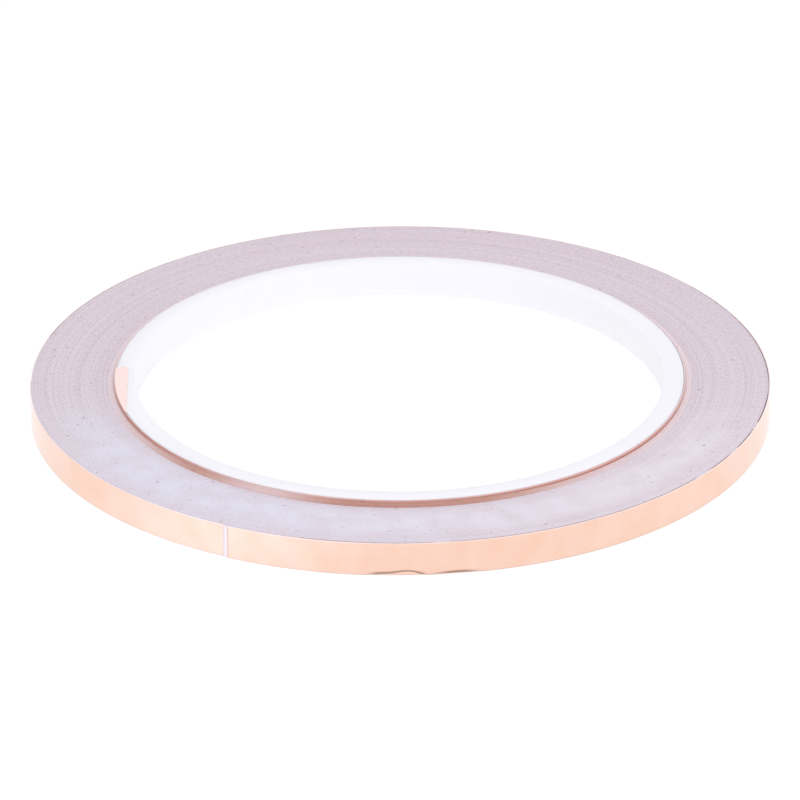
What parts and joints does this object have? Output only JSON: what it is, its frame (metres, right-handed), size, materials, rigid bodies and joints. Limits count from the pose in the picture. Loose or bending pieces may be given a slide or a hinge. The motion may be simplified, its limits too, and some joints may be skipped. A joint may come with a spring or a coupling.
{
  "type": "copper foil tape roll",
  "caption": "Narrow adhesive copper foil tape with a paper liner, wound on a plastic ring core, for edging stained glass pieces.",
  "frame": {"origin": "on the roll's axis, in the plane that the winding rests on", "axes": "+Z along the roll's axis, up when it lies flat; the tape winds outwards clockwise seen from +Z"},
  "size_m": [0.1073, 0.1075, 0.0058],
  "materials": {
    "copper_foil": "bright rolled copper with fine lengthwise rolling lines",
    "adhesive": "clear, tacky acrylic film",
    "liner_paper": "smooth white release paper",
    "core_plastic": "white moulded polystyrene, slightly translucent"
  },
  "bodies": {
    "roll": {"core": "core_plastic", "starter_tab": "copper_foil", "starter_foil": "copper_foil", "starter_liner": "liner_paper", "wound_tape": "liner_paper", "outer_turn_foil": "copper_foil", "outer_turn_liner": "liner_paper"},
    "liner_tail": {"liner_tail": "liner_paper", "bonded_foil": "copper_foil"},
    "foil_tail": {"foil_tail": "copper_foil", "tail_adhesive": "adhesive"}
  },
  "joints": [
    {"name": "tail_lift", "type": "hinge", "parent": "roll", "child": "liner_tail", "pos_m": [-0.00902, -0.05303, 0], "axis": [0, 0, 1], "range_deg": [0, 90]},
    {"name": "foil_peel", "type": "hinge", "parent": "liner_tail", "child": "foil_tail", "pos_m": [-0.01392, -0.05196, 0], "axis": [0, 0, 1], "range_deg": [0, 45]}
  ]
}
